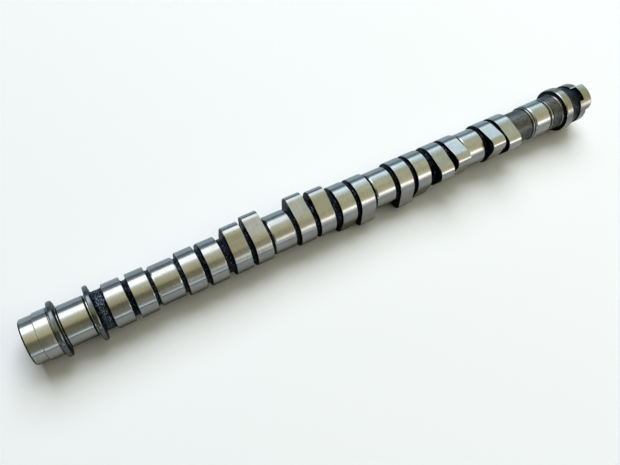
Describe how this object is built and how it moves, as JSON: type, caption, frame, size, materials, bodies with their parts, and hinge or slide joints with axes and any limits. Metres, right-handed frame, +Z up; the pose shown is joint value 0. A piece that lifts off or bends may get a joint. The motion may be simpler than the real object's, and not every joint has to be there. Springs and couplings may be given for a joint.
{
  "type": "camshaft",
  "caption": "Overhead camshaft with paired lobes in groups about their journals, thrust collars behind the nose, and a rear flange and drive tang.",
  "frame": {"origin": "on the shaft's axis, midway along the front thrust journal", "axes": "+X along the shaft from the front nose to the rear drive head; +Z up as the shaft lies on a flat surface; +Y completes the right-handed frame"},
  "size_m": [0.4999, 0.0408, 0.0408],
  "materials": {
    "camshaft": "ground bright on the lobes, journals, collars and nose; black as cast between them"
  },
  "bodies": {
    "root": {"camshaft": "camshaft"}
  },
  "joints": []
}
